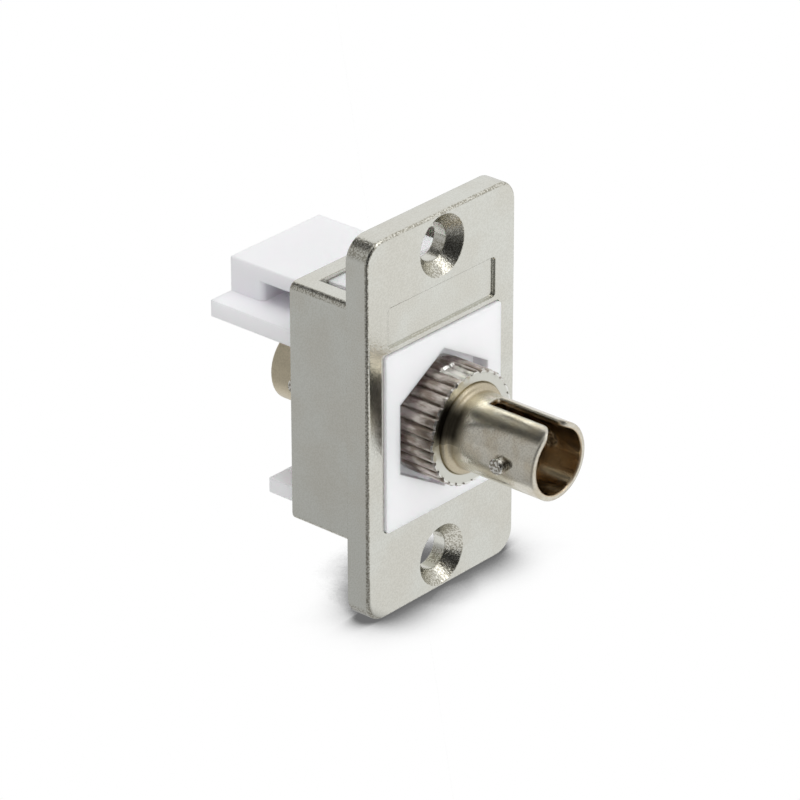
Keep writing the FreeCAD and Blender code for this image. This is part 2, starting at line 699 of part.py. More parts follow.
def make_knurled_nut(doc):
    """The round nut on the neck, with a straight knurl all along its rim."""
    body = make_body(doc, "knurled_nut", "sizes.port_drop")
    inner = f"({NECK_RADIUS} + sizes.thread_gap)"
    profile = make_sketch(body, "turned_outline", "YZ_Plane")
    add_outline(profile, [
        (NUT_FRONT, inner),
        (NUT_FRONT, f"{NUT_RADIUS} - sizes.nut_chamfer"),
        (f"{NUT_FRONT} + sizes.nut_chamfer", NUT_RADIUS),
        (NUT_BACK, NUT_RADIUS),
        (NUT_BACK, inner),
    ])
    turned(body, "Revolution", "turned_ring", profile)

    half = f"(pi * {NUT_RADIUS} / sizes.knurl_count - sizes.knurl_land / 2)"
    groove = make_sketch(body, "knurl_outline", "XZ_Plane", f"-{NUT_FRONT}")
    add_outline(groove, [
        ("0", f"{NUT_RADIUS} - sizes.knurl_depth"),
        (f"2 * {half}", f"{NUT_RADIUS} + sizes.knurl_depth"),
        (f"-2 * {half}", f"{NUT_RADIUS} + sizes.knurl_depth"),
    ])
    cut = prism(body, "Pocket", "knurl_groove", groove, "sizes.nut_height")
    around_axis(body, "knurl", cut, "sizes.knurl_count")
    return body


def make_lock_washer(doc):
    """The washer under the nut, with teeth around its hole."""
    body = make_body(doc, "lock_washer", "sizes.port_drop")
    inner = f"({NECK_RADIUS} + sizes.neck_gap)"
    profile = make_sketch(body, "ring_outline", "YZ_Plane")
    add_rectangle(profile, NUT_BACK, RECESS_FLOOR, inner, f"{NECK_RADIUS} + sizes.washer_band")
    turned(body, "Revolution", "ring", profile)
    notch = make_sketch(body, "notch_outline", "XZ_Plane", f"-{NUT_BACK}")
    half = f"(pi * {inner} / sizes.washer_tooth_count / 2)"
    add_rectangle(notch, f"-{half}", half, f"{inner} / 2",
                  f"{inner} + sizes.washer_tooth_length")
    cut = prism(body, "Pocket", "notch", notch, "sizes.washer_thick")
    around_axis(body, "teeth", cut, "sizes.washer_tooth_count")
    return body


def check_document(doc, bodies):
    """Stops the build where an object failed or a piece has no sound shape."""
    for item in doc.Objects:
        if any(word in ("Invalid", "Error") for word in item.State):
            raise RuntimeError(f"{item.Label} failed: {item.State}")
    for body in bodies:
        if body.Shape.isNull() or not body.Shape.isValid():
            raise RuntimeError(f"{body.Label} has no valid shape")


def main():
    doc = FreeCAD.newDocument("Fibre_coupler_module")
    make_sheet(doc)
    bodies = [
        make_panel_frame(doc),
        make_keystone_insert(doc),
        make_coupler_body(doc),
        make_rear_barrel(doc),
        make_knurled_nut(doc),
        make_lock_washer(doc),
        make_sleeve_holder(doc, "front_sleeve_holder", "-"),
        make_sleeve_holder(doc, "rear_sleeve_holder", "+"),
        make_split_sleeve(doc),
        make_bayonet_pin(doc, "front_left_pin", FRONT_RIM, "+", "-"),
        make_bayonet_pin(doc, "front_right_pin", FRONT_RIM, "+", ""),
        make_bayonet_pin(doc, "rear_left_pin", BACK_RIM, "-", "-"),
        make_bayonet_pin(doc, "rear_right_pin", BACK_RIM, "-", ""),
    ]
    doc.recompute()
    check_document(doc, bodies)
    os.makedirs("parts", exist_ok=True)
    for body in bodies:
        body.Shape.exportStep(f"parts/{body.Label}.step")
        print(body.Label, round(body.Shape.Volume, 2), body.Shape.BoundBox)


main()
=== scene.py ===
import bpy
import json
import math
from mathutils import Matrix, Vector


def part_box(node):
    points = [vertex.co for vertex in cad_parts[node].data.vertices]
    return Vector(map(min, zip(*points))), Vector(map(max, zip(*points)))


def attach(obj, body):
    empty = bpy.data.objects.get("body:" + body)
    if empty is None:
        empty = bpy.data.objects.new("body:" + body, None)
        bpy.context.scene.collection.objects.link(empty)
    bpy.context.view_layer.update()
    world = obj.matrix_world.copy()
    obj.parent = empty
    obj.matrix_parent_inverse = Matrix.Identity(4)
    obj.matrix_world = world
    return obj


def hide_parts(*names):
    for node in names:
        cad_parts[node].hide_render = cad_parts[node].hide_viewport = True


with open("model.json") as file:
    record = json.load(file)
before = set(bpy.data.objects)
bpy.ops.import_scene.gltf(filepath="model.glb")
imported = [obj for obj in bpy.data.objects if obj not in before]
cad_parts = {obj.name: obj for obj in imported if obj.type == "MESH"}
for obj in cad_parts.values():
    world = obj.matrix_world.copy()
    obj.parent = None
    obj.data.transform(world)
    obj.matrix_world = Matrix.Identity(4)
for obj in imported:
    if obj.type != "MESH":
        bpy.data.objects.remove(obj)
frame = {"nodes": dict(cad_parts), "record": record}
bpy.context.view_layer.update()

# The object is a bayonet fibre coupler in a white snap-in insert, held by a cast panel frame.
# Blender works in metres, and sizes are written in millimetres.
MM = 0.001

# The photograph's camera, and the spot of its frame where the middle of the face lies
CAMERA_AZIMUTH = -48.8107
CAMERA_ELEVATION = 26.7379
CAMERA_ROLL = -0.0970
CAMERA_DISTANCE = 426.9625
CAMERA_LENS = 228.904
FILM_WIDTH = 36.0
FRAME_PIXELS = 800
AIM_SPOT = (441.9948, 416.3261)

# Places that come from the frame: the port's axis, the nut, the plate's face and the floor
NUT_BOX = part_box("knurled_nut")
PLATE_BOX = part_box("panel_frame")
PORT_HEIGHT = (NUT_BOX[0].z + NUT_BOX[1].z) / 2
NUT_FRONT = NUT_BOX[0].y
NUT_BACK = NUT_BOX[1].y
NUT_RADIUS = NUT_BOX[1].x
PLATE_FRONT = PLATE_BOX[0].y
FLOOR_GAP = 0.02 * MM
FLOOR_HEIGHT = PLATE_BOX[0].z - FLOOR_GAP

# Sizes of the turned pieces that the frame's boxes don't give
BARREL_WALL = 0.5 * MM
BORE_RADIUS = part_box("rear_barrel")[1].x - BARREL_WALL
NECK_RADIUS = 4.0 * MM

# The nut's knurl: its ribs, with enough points around for a rounded back, and their grooves
RIBS = 30
POINTS_PER_RIB = 12
GROOVE_DEPTH = 0.22 * MM

# The dent in the knurl: its angles round the port, and how far back it reaches
DENT_ANGLES = (84, 105)
DENT_END = NUT_FRONT + 2.5 * MM

# Colours of the plated casting
CAST_PALE = (0.76, 0.765, 0.71, 1)
CAST_WARM = (0.73, 0.72, 0.655, 1)
CAST_ROUGH = (0.73, 0.71, 0.63, 1)
CAST_SPECK = (0.29, 0.27, 0.21, 1)

# Colours of the turned pieces, and of the painted shade on the dark side of the neck
TURNED_PALE = (0.76, 0.73, 0.64, 1)
TURNED_WARM = (0.68, 0.62, 0.50, 1)
TURNED_NECK = (0.61, 0.54, 0.40, 1)
TURNED_BORE = (0.74, 0.61, 0.44, 1)
TURNED_SPECK = (0.24, 0.20, 0.14, 1)
NECK_PAINTED_SHADE_COLOUR = (0.08, 0.07, 0.05, 1)

# Colours of the knurled nut
RIB_PALE = (0.60, 0.55, 0.50, 1)
RIB_BROWN = (0.24, 0.195, 0.16, 1)
# A painted shade for the grooves between the ribs, darkest near the front rim
GROOVE_PAINTED_SHADE = (0.09, 0.07, 0.05, 1)
DENT_BARE = (0.80, 0.79, 0.72, 1)
NUT_FACE = (0.72, 0.72, 0.66, 1)
# A painted highlight along the burr at the rim of the nut's face
NUT_BURR_HIGHLIGHT = (0.90, 0.90, 0.86, 1)

# Colours of the insert, and of the small pieces in the port
PLASTIC_PALE = (0.935, 0.93, 0.98, 1)
PLASTIC_DEEP = (0.915, 0.91, 0.965, 1)
WASHER_PALE = (0.55, 0.55, 0.53, 1)
WASHER_DARK = (0.40, 0.38, 0.35, 1)
HOLDER_PALE = (0.66, 0.62, 0.54, 1)
HOLDER_BRASSY = (0.50, 0.43, 0.33, 1)
SLEEVE_PALE = (0.88, 0.87, 0.83, 1)
SLEEVE_IVORY = (0.84, 0.82, 0.77, 1)
PIN_BRIGHT = (0.86, 0.85, 0.80, 1)
PIN_DARK = (0.30, 0.27, 0.22, 1)

# Ways from the object to the places in the studio that its plating mirrors
TO_THE_RIGHT = (1.0, 0.0, 0.0)
UPWARDS = (0.0, 0.0, 1.0)
BACK_RIGHT = (0.78, 0.62, 0.0)
DARK_CEILING = (-0.14, 0.59, 0.80)
DARK_CAMERA = (-0.50, -0.72, 0.48)

# How bright the studio is at its left and its right, low down and high up, and where it is dark
LEFT_GLOW = (0.46, 0.60)
RIGHT_GLOW = (0.83, 1.08)
DARK_GLOW = 0.12
SKY_LIGHT = 0.70

# The floor, and its colour where only light falls on it
FLOOR_SIZE = 8000 * MM
FLOOR_COLOUR = (0.8, 0.8, 0.8, 1)

# The shadow on the floor: how far it reaches round the foot and under the object, and its greys
FOOT_REACH = 6.5 * MM
UNDER_REACH = 11 * MM
FOOT_GREY = 0.14
UNDER_GREY = 0.15


def behind_nut_face(distance):
    """A place along Y, in millimetres behind the nut's front face, or before it if negative."""
    return NUT_FRONT + distance * MM


def below_ribs(depth):
    """A radius round the port, so many millimetres below the tops of the nut's ribs."""
    return NUT_RADIUS - depth * MM


def add_node(tree, kind, **settings):
    """A node with its settings."""
    node = tree.nodes.new(kind)
    for name, value in settings.items():
        setattr(node, name, value)
    return node


def feed(tree, socket, source):
    """Links a socket to another, or gives it a plain value."""
    if isinstance(source, bpy.types.NodeSocket):
        tree.links.new(source, socket)
    else:
        socket.default_value = source


def calc(tree, operation, first, second=0.0):
    """The result of one sum on two numbers."""
    node = add_node(tree, "ShaderNodeMath", operation=operation)
    feed(tree, node.inputs[0], first)
    feed(tree, node.inputs[1], second)
    return node.outputs[0]


def times(tree, first, *others):
    """Numbers multiplied together. Of masks, it is the place that they share."""
    product = first
    for other in others:
        product = calc(tree, "MULTIPLY", product, other)
    return product


def spread(tree, value, low, high, to_low=0.0, to_high=1.0):
    """A value's range between low and high, eased at both ends."""
    node = add_node(tree, "ShaderNodeMapRange", interpolation_type="SMOOTHSTEP")
    for socket, source in zip(node.inputs, (value, low, high, to_low, to_high)):
        feed(tree, socket, source)
    return node.outputs[0]


def blend(tree, share, first, second):
    """A colour between two others."""
    node = add_node(tree, "ShaderNodeMix", data_type="RGBA")
    feed(tree, node.inputs["Factor"], share)
    feed(tree, node.inputs[6], first)
    feed(tree, node.inputs[7], second)
    return node.outputs[2]


def between(tree, share, first, second):
    """A number between two others."""
    node = add_node(tree, "ShaderNodeMix", data_type="FLOAT")
    feed(tree, node.inputs[0], share)
    feed(tree, node.inputs[2], first)
    feed(tree, node.inputs[3], second)
    return node.outputs[0]


def cloud(tree, place, size, detail=2.0, roughness=0.5):
    """Soft noise between 0 and 1, whose spots are about as large as size, in millimetres."""
    node = add_node(tree, "ShaderNodeTexNoise")
    feed(tree, node.inputs["Vector"], place)
    feed(tree, node.inputs["Scale"], calc(tree, "DIVIDE", 1 / MM, size))
    feed(tree, node.inputs["Detail"], detail)
    feed(tree, node.inputs["Roughness"], roughness)
    return node.outputs["Fac"]


def raised(tree, height, depth, normal):
    """The normal of a surface that a pattern raises by a depth in millimetres."""
    node = add_node(tree, "ShaderNodeBump")
    feed(tree, node.inputs["Distance"], times(tree, depth, MM))
    feed(tree, node.inputs["Height"], height)
    feed(tree, node.inputs["Normal"], normal)
    return node.outputs["Normal"]


def likeness(tree, first, second):
    """How far two directions agree: 1 where they are the same, -1 where they are opposite."""
    node = add_node(tree, "ShaderNodeVectorMath", operation="DOT_PRODUCT")
    feed(tree, node.inputs[0], first)
    feed(tree, node.inputs[1], second)
    return node.outputs["Value"]


def object_place(tree):
    """Where a point of the surface is, in the part's own frame."""
    return add_node(tree, "ShaderNodeTexCoord").outputs["Object"]


def facing_parts(tree):
    """How far the surface faces along X, Y and Z."""
    node = add_node(tree, "ShaderNodeSeparateXYZ")
    feed(tree, node.inputs[0], add_node(tree, "ShaderNodeTexCoord").outputs["Normal"])
    return node.outputs


def new_effect(name, inputs, outputs):
    """An effect that several finishes share: a node group with named sockets."""
    group = bpy.data.node_groups.new(name, "ShaderNodeTree")
    for label, kind, value in inputs:
        socket = group.interface.new_socket(name=label, in_out="INPUT", socket_type=kind)
        if value is not None:
            socket.default_value = value
    for label, kind in outputs:
        group.interface.new_socket(name=label, in_out="OUTPUT", socket_type=kind)
    start = group.nodes.new("NodeGroupInput")
    end = group.nodes.new("NodeGroupOutput")
    return group, start.outputs, end.inputs


def use_effect(tree, effect, **values):
    """One use of an effect, with its own values. Underscores stand for spaces."""
    node = add_node(tree, "ShaderNodeGroup", node_tree=effect)
    for name, value in values.items():
        feed(tree, node.inputs[name.replace("_", " ").capitalize()], value)
    return node.outputs


def make_soft_edges():
    """Rounds sharp edges in the shading, and marks the strip along them."""
    strip_start, strip_full = 0.995, 0.80
    tree, given, result = new_effect(
        "soft edges",
        [("Radius", "NodeSocketFloat", 0.1)],
        [("Normal", "NodeSocketVector"), ("Edge", "NodeSocketFloat")],
    )
    bevel = add_node(tree, "ShaderNodeBevel", samples=6)
    feed(tree, bevel.inputs["Radius"], times(tree, given["Radius"], MM))
    flat_normal = add_node(tree, "ShaderNodeNewGeometry").outputs["Normal"]
    turned_away = likeness(tree, bevel.outputs["Normal"], flat_normal)
    feed(tree, result["Normal"], bevel.outputs["Normal"])
    feed(tree, result["Edge"], spread(tree, turned_away, strip_start, strip_full))
    return tree


def make_curved_places():
    """Marks the rounded edges and cones of a piece whose flat faces are square to its axes."""
    curve_start, curve_full = 0.985, 0.90
    tree, _, result = new_effect("curved places", [], [("Curved", "NodeSocketFloat")])
    parts = facing_parts(tree)
    sides = [calc(tree, "ABSOLUTE", parts[axis]) for axis in "XYZ"]
    squarest = calc(tree, "MAXIMUM", calc(tree, "MAXIMUM", sides[0], sides[1]), sides[2])
    feed(tree, result["Curved"], spread(tree, squarest, curve_start, curve_full))
    return tree


def make_fine_grain():
    """A fine all-over grain, such as a casting or a moulding has."""
    tree, given, result = new_effect(
        "fine grain",
        [
            ("Grain size", "NodeSocketFloat", 0.15),
            ("Grain depth", "NodeSocketFloat", 0.01),
            ("Normal", "NodeSocketVector", None),
        ],
        [("Normal", "NodeSocketVector"), ("Grain", "NodeSocketFloat")],
    )
    grain = cloud(tree, object_place(tree), given["Grain size"], detail=3.0, roughness=0.6)
    feed(tree, result["Normal"], raised(tree, grain, given["Grain depth"], given["Normal"]))
    feed(tree, result["Grain"], grain)
    return tree


def make_port_place():
    """Where a point lies round the port: its radius, its angle in degrees, its place along Y."""
    tree, _, result = new_effect(
        "port place",
        [],
        [("Radius", "NodeSocketFloat"), ("Angle", "NodeSocketFloat"), ("Along", "NodeSocketFloat")],
    )
    parts = add_node(tree, "ShaderNodeSeparateXYZ")
    feed(tree, parts.inputs[0], object_place(tree))
    aside = parts.outputs["X"]
    height = calc(tree, "SUBTRACT", parts.outputs["Z"], PORT_HEIGHT)
    squares = calc(tree, "ADD", times(tree, aside, aside), times(tree, height, height))
    feed(tree, result["Radius"], calc(tree, "SQRT", squares))
    turn = calc(tree, "ARCTAN2", height, aside)
    feed(tree, result["Angle"], calc(tree, "DEGREES", turn))
    feed(tree, result["Along"], parts.outputs["Y"])
    return tree


def make_neck_shade():
    """A painted shade on the dark side of the neck, where the nut and the barrel mirror only each
    other.
    """
    middle_angle = 153.0
    outer_angle, inner_angle = 38.0, 12.0
    tree, _, result = new_effect("neck shade", [], [("Shade", "NodeSocketFloat")])
    port = use_effect(tree, PORT_PLACE)
    away = calc(tree, "ABSOLUTE", calc(tree, "SUBTRACT", port["Angle"], middle_angle))
    shade = times(
        tree,
        spread(tree, away, outer_angle, inner_angle),
        spread(tree, port["Along"], behind_nut_face(-2.4), behind_nut_face(-0.8)),
        spread(tree, port["Radius"], below_ribs(0.1), below_ribs(0.7)),
        spread(tree, port["Along"], NUT_BACK, NUT_FRONT),
    )
    feed(tree, result["Shade"], shade)
    return tree


def make_turning_marks():
    """The fine rings that a lathe leaves around the port's axis."""
    tree, given, result = new_effect(
        "turning marks",
        [
            ("Mark width", "NodeSocketFloat", 0.1),
            ("Mark depth", "NodeSocketFloat", 0.004),
            ("Normal", "NodeSocketVector", None),
        ],
        [("Normal", "NodeSocketVector")],
    )
    port = use_effect(tree, PORT_PLACE)
    rings = add_node(tree, "ShaderNodeTexNoise", noise_dimensions="1D")
    feed(tree, rings.inputs["W"], calc(tree, "ADD", port["Along"], port["Radius"]))
    feed(tree, rings.inputs["Scale"], calc(tree, "DIVIDE", 1 / MM, given["Mark width"]))
    feed(tree, rings.inputs["Detail"], 2.0)
    normal = raised(tree, rings.outputs["Fac"], given["Mark depth"], given["Normal"])
    feed(tree, result["Normal"], normal)
    return tree


def make_studio_glow():
    """How bright the studio looks in each direction: pale at the right, dim at the camera."""
    tree, given, result = new_effect(
        "studio glow",
        [("Direction", "NodeSocketVector", None)],
        [("Brightness", "NodeSocketFloat")],
    )
    way = add_node(tree, "ShaderNodeVectorMath", operation="NORMALIZE")
    feed(tree, way.inputs[0], given["Direction"])

    def towards(spot):
        return likeness(tree, way.outputs[0], Vector(spot).normalized())

    # The first two numbers of each range are the likenesses at which it starts and ends
    upward = towards(UPWARDS)
    left = spread(tree, upward, -0.3, 0.3, *LEFT_GLOW)
    right = spread(tree, upward, -0.2, 0.35, *RIGHT_GLOW)
    front_dimming = spread(tree, towards(BACK_RIGHT), -1.0, -0.7, to_low=0.6)
    rightness = spread(tree, towards(TO_THE_RIGHT), -0.35, 0.08)
    glow = between(tree, rightness, times(tree, left, front_dimming), right)
    ceiling = spread(tree, towards(DARK_CEILING), 0.92, 0.985, 1.0, DARK_GLOW)
    camera = spread(tree, towards(DARK_CAMERA), 0.76, 0.88, 1.0, DARK_GLOW)
    feed(tree, result["Brightness"], times(tree, glow, times(tree, ceiling, camera)))
    return tree


SOFT_EDGES = make_soft_edges()
CURVED_PLACES = make_curved_places()
FINE_GRAIN = make_fine_grain()
PORT_PLACE = make_port_place()
NECK_SHADE = make_neck_shade()
TURNING_MARKS = make_turning_marks()
STUDIO_GLOW = make_studio_glow()


def new_finish(name):
    """An empty finish: a material with its shader."""
    material = bpy.data.materials.new(name)
    material.use_nodes = True
    return material, material.node_tree, material.node_tree.nodes["Principled BSDF"].inputs


def plate_with(tree, shader, colour, roughness, normal):
    """Makes a finish bare metal, with its colour, roughness and normal."""
    feed(tree, shader["Base Color"], colour)
    feed(tree, shader["Metallic"], 1.0)
    feed(tree, shader["Roughness"], roughness)
    feed(tree, shader["Normal"], normal)


def cast_nickel_finish():
    """Nickel plating on a zinc casting: satin, grey-green, with a fine sandy grain."""
    smooth_grain, rough_grain = 0.010, 0.035
    few_specks, many_specks = 0.11, 0.72
    glossiest, dullest = 0.15, 0.20
    material, tree, shader = new_finish("cast nickel plating")
    place = object_place(tree)
    edges = use_effect(tree, SOFT_EDGES, radius=0.14)
    curved = use_effect(tree, CURVED_PLACES)["Curved"]
    rough = calc(tree, "MAXIMUM", curved, times(tree, edges["Edge"], 0.8))
    grain = use_effect(tree, FINE_GRAIN, grain_size=0.20,
                       grain_depth=spread(tree, rough, 0.0, 1.0, smooth_grain, rough_grain),
                       normal=edges["Normal"])
    mottle = cloud(tree, place, 4.0, detail=5.0)
    colour = blend(tree, spread(tree, mottle, 0.35, 0.65), CAST_PALE, CAST_WARM)
    colour = blend(tree, times(tree, rough, 0.6), colour, CAST_ROUGH)
    specks = spread(tree, cloud(tree, place, 0.15, detail=1.0), 0.42, 0.58)
    specks = times(tree, specks, spread(tree, rough, 0.0, 1.0, few_specks, many_specks))
    colour = blend(tree, specks, colour, CAST_SPECK)
    roughness = spread(tree, mottle, 0.3, 0.7, glossiest, dullest)
    plate_with(tree, shader, colour, roughness, grain["Normal"])
    return material


def turned_nickel_finish():
    """Nickel plating on turned brass: warmer and glossier than the casting."""
    barrel_grain, neck_grain = 0.007, 0.020
    glossiest, dullest = 0.14, 0.21
    speck_strength = 0.15
    neck_dullness = 0.16
    material, tree, shader = new_finish("turned nickel plating")
    place = object_place(tree)
    edges = use_effect(tree, SOFT_EDGES, radius=0.35)
    marks = use_effect(tree, TURNING_MARKS, mark_width=0.12, mark_depth=0.0012,
                       normal=edges["Normal"])
    port = use_effect(tree, PORT_PLACE)
    neck = spread(tree, port["Along"], behind_nut_face(-2.6), behind_nut_face(-0.8))
    grain = use_effect(tree, FINE_GRAIN, grain_size=0.22,
                       grain_depth=spread(tree, neck, 0.0, 1.0, barrel_grain, neck_grain),
                       normal=marks["Normal"])
    haze = cloud(tree, place, 1.6, detail=3.0)
    colour = blend(tree, spread(tree, haze, 0.35, 0.7), TURNED_PALE, TURNED_WARM)
    colour = blend(tree, neck, colour, TURNED_NECK)
    bore = spread(tree, port["Radius"], BORE_RADIUS + 0.1 * MM, BORE_RADIUS + 0.05 * MM)
    colour = blend(tree, bore, colour, TURNED_BORE)
    specks = spread(tree, cloud(tree, place, 0.15, detail=1.0), 0.44, 0.60)
    colour = blend(tree, times(tree, specks, speck_strength), colour, TURNED_SPECK)
    # A painted shade on the dark side of the neck
    colour = blend(tree, use_effect(tree, NECK_SHADE)["Shade"], colour, NECK_PAINTED_SHADE_COLOUR)
    gloss = spread(tree, haze, 0.3, 0.7, glossiest, dullest)
    roughness = calc(tree, "ADD", gloss, times(tree, neck, neck_dullness))
    plate_with(tree, shader, colour, roughness, grain["Normal"])
    return material


def knurl_colour(tree, port, streaks, patches):
    """The nut's ribs: dulled plating, a painted shade in the grooves, and bare metal in the dent.
    """
    front_shade, back_shade, mouth_shade = 0.9, 0.35, 0.3
    ragged_degrees = 7.0
    dent_middle = sum(DENT_ANGLES) / 2
    dent_half = (DENT_ANGLES[1] - DENT_ANGLES[0]) / 2

    worn = calc(tree, "ADD", times(tree, streaks, 0.6), times(tree, patches, 0.4))
    colour = blend(tree, spread(tree, worn, 0.38, 0.62), RIB_PALE, RIB_BROWN)
    # Painted shade in the grooves between the ribs: darker towards the front, lighter right at the
    # face
    groove_shade = times(
        tree,
        spread(tree, port["Radius"], below_ribs(0.03), below_ribs(0.14)),
        spread(tree, port["Along"], behind_nut_face(0.6), behind_nut_face(2.4),
               front_shade, back_shade),
        spread(tree, port["Along"], behind_nut_face(0.05), behind_nut_face(0.40), mouth_shade),
    )
    colour = blend(tree, groove_shade, colour, GROOVE_PAINTED_SHADE)
    ragged = times(tree, calc(tree, "SUBTRACT", streaks, 0.5), ragged_degrees)
    angle = calc(tree, "ADD", port["Angle"], ragged)
    away = calc(tree, "ABSOLUTE", calc(tree, "SUBTRACT", angle, dent_middle))
    bare = times(
        tree,
        spread(tree, away, dent_half, dent_half * 0.9),
        spread(tree, port["Along"], DENT_END + 0.2 * MM, DENT_END),
        spread(tree, patches, 0.35, 0.55, 1.0, 0.55),
    )
    return blend(tree, bare, colour, DENT_BARE)


def nut_nickel_finish():
    """The nut's plating: bright on its face, and dulled to a brownish grey on its ribs."""
    material, tree, shader = new_finish("nut nickel plating")
    place = object_place(tree)
    edges = use_effect(tree, SOFT_EDGES, radius=0.06)
    grain = use_effect(tree, FINE_GRAIN, grain_size=0.3, grain_depth=0.010,
                       normal=edges["Normal"])
    stretched = add_node(tree, "ShaderNodeMapping", vector_type="POINT")
    feed(tree, stretched.inputs["Vector"], place)
    feed(tree, stretched.inputs["Scale"], Vector((1.0, 0.3, 1.0)))
    streaks = cloud(tree, stretched.outputs[0], 0.5, detail=3.0, roughness=0.6)
    patches = cloud(tree, place, 1.8, detail=2.0)
    port = use_effect(tree, PORT_PLACE)
    ribs = knurl_colour(tree, port, streaks, patches)
    # A painted highlight on the ring of the face where the burr stands
    burr = spread(tree, port["Radius"], below_ribs(0.28), below_ribs(0.20))
    face = blend(tree, burr, NUT_FACE, NUT_BURR_HIGHLIGHT)
    # The same painted shade on the nut's face beside the neck
    face = blend(tree, use_effect(tree, NECK_SHADE)["Shade"], face, NECK_PAINTED_SHADE_COLOUR)
    flat = spread(tree, calc(tree, "ABSOLUTE", facing_parts(tree)["Y"]), 0.35, 0.8)
    colour = blend(tree, flat, ribs, face)
    plate_with(tree, shader, colour, roughness=0.30, normal=grain["Normal"])
    return material


def white_plastic_finish():
    """The insert's white moulded plastic, faintly lavender and slightly see-through."""
    material, tree, shader = new_finish("white moulded plastic")
    edges = use_effect(tree, SOFT_EDGES, radius=0.10)
    grain = use_effect(tree, FINE_GRAIN, grain_size=1.2, grain_depth=0.006,
                       normal=edges["Normal"])
    feed(tree, shader["Base Color"], blend(tree, grain["Grain"], PLASTIC_PALE, PLASTIC_DEEP))
    feed(tree, shader["Roughness"], spread(tree, grain["Grain"], 0.3, 0.7, 0.36, 0.44))
    feed(tree, shader["Normal"], grain["Normal"])
    feed(tree, shader["Subsurface Weight"], 0.7)
    feed(tree, shader["Subsurface Radius"], (1.0, 0.88, 0.95))
    feed(tree, shader["Subsurface Scale"], 1.2 * MM)
    return material


def washer_finish():
    """Plated spring steel."""
    material, tree, shader = new_finish("plated washer steel")
    edges = use_effect(tree, SOFT_EDGES, radius=0.05)
    grain = use_effect(tree, FINE_GRAIN, grain_size=0.3, grain_depth=0.006,
                       normal=edges["Normal"])
    colour = blend(tree, grain["Grain"], WASHER_PALE, WASHER_DARK)
    plate_with(tree, shader, colour, roughness=0.32, normal=grain["Normal"])
    return material


def holder_finish():
    """Nickel-plated brass inside the barrels, bright and turned."""
    material, tree, shader = new_finish("sleeve holder plating")
    edges = use_effect(tree, SOFT_EDGES, radius=0.05)
    marks = use_effect(tree, TURNING_MARKS, mark_width=0.10, mark_depth=0.0015,
                       normal=edges["Normal"])
    haze = cloud(tree, object_place(tree), 1.0)
    colour = blend(tree, haze, HOLDER_PALE, HOLDER_BRASSY)
    plate_with(tree, shader, colour, roughness=0.24, normal=marks["Normal"])
    return material


def sleeve_finish():
    """Polished ivory-white ceramic."""
    material, tree, shader = new_finish("polished sleeve ceramic")
    edges = use_effect(tree, SOFT_EDGES, radius=0.05)
    grain = use_effect(tree, FINE_GRAIN, grain_size=0.4, grain_depth=0.001,
                       normal=edges["Normal"])
    feed(tree, shader["Base Color"], blend(tree, grain["Grain"], SLEEVE_PALE, SLEEVE_IVORY))
    feed(tree, shader["Roughness"], 0.12)
    feed(tree, shader["Normal"], grain["Normal"])
    return material


def pin_finish():
    """Plated steel pins with a cut and slightly crushed end."""
    material, tree, shader = new_finish("cut pin steel")
    edges = use_effect(tree, SOFT_EDGES, radius=0.08)
    grain = use_effect(tree, FINE_GRAIN, grain_size=0.30, grain_depth=0.05,
                       normal=edges["Normal"])
    flecks = spread(tree, cloud(tree, object_place(tree), 0.25), 0.40, 0.58)
    colour = blend(tree, flecks, PIN_BRIGHT, PIN_DARK)
    plate_with(tree, shader, colour, roughness=0.24, normal=grain["Normal"])
    return material


FINISHES = {
    "cast_nickel": cast_nickel_finish(),
    "turned_nickel": turned_nickel_finish(),
    "nut_nickel": nut_nickel_finish(),
    "white_plastic": white_plastic_finish(),
    "washer_steel": washer_finish(),
    "holder_metal": holder_finish(),
    "sleeve_ceramic": sleeve_finish(),
    "pin_steel": pin_finish(),
}


def dress_frame_nodes():
    """Gives each piece of the frame the finish of its slot."""
    for part in frame["record"]["subparts"]:
        node = frame["nodes"][part["node"]]
        for slot in node.material_slots:
            slot.material = FINISHES[part["material_slot"]]


def start_modelling():
    """Leaves nothing selected, so that the next piece is worked on alone."""
    if bpy.context.mode != "OBJECT":
        bpy.ops.object.mode_set(mode="OBJECT")
    bpy.ops.object.select_all(action="DESELECT")


def select_points(piece, wanted):
    """Selects the points of a piece in edit mode that a test on their place chooses."""
    bpy.ops.object.mode_set(mode="OBJECT")
    for edge in piece.data.edges:
        edge.select = False
    for face in piece.data.polygons:
        face.select = False
    for point in piece.data.vertices:
        point.select = wanted(point.co)
    bpy.ops.object.mode_set(mode="EDIT")


def around_port(place):
    """A point's distance from the port's axis, and its angle in degrees, from the right."""
    up = place.z - PORT_HEIGHT
    return math.hypot(place.x, up), math.degrees(math.atan2(up, place.x)) % 360


def draw_in(change):
    """Brings the selected points nearer to the port's axis, or takes them further out."""
    bpy.ops.transform.resize(value=(change, 1, change), center_override=(0, 0, PORT_HEIGHT))


